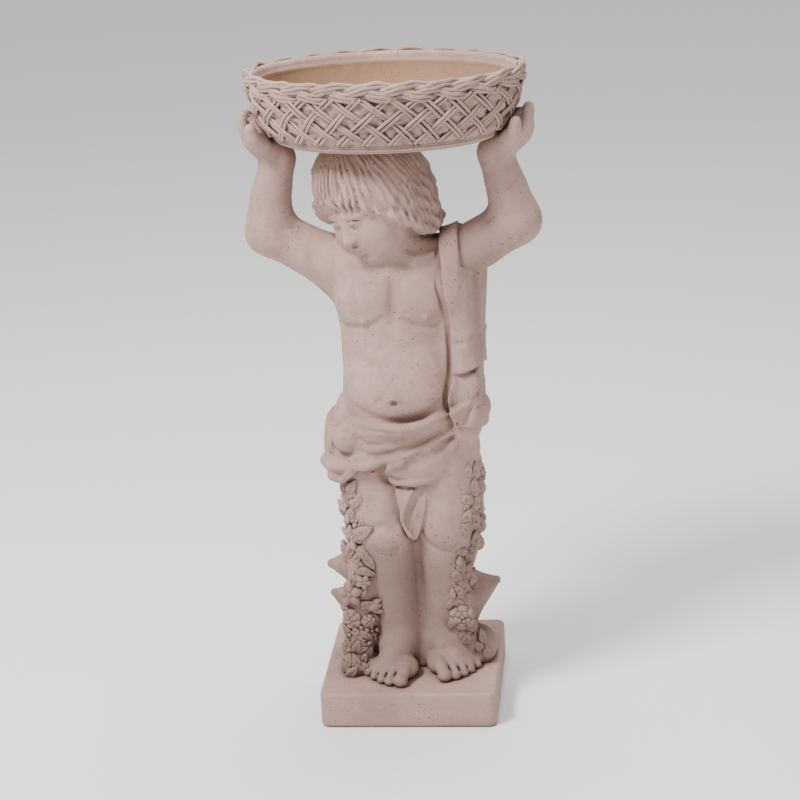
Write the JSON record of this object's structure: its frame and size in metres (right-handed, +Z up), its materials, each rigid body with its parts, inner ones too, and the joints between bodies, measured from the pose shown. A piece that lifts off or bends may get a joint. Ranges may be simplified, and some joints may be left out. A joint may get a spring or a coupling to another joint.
{
  "type": "garden statue",
  "caption": "Cast-stone garden statue of a standing cherub that holds an oval wicker basket planter on its head.",
  "frame": {"origin": "middle of the plinth's underside", "axes": "+Z up, the figure faces -Y, +X to the viewer's right"},
  "size_m": [0.4425, 0.2895, 0.9998],
  "materials": {
    "cast_stone": "matt, pitted, with a brown wash in the recesses"
  },
  "bodies": {
    "root": {"cherub_statue": "cast_stone"}
  },
  "joints": []
}
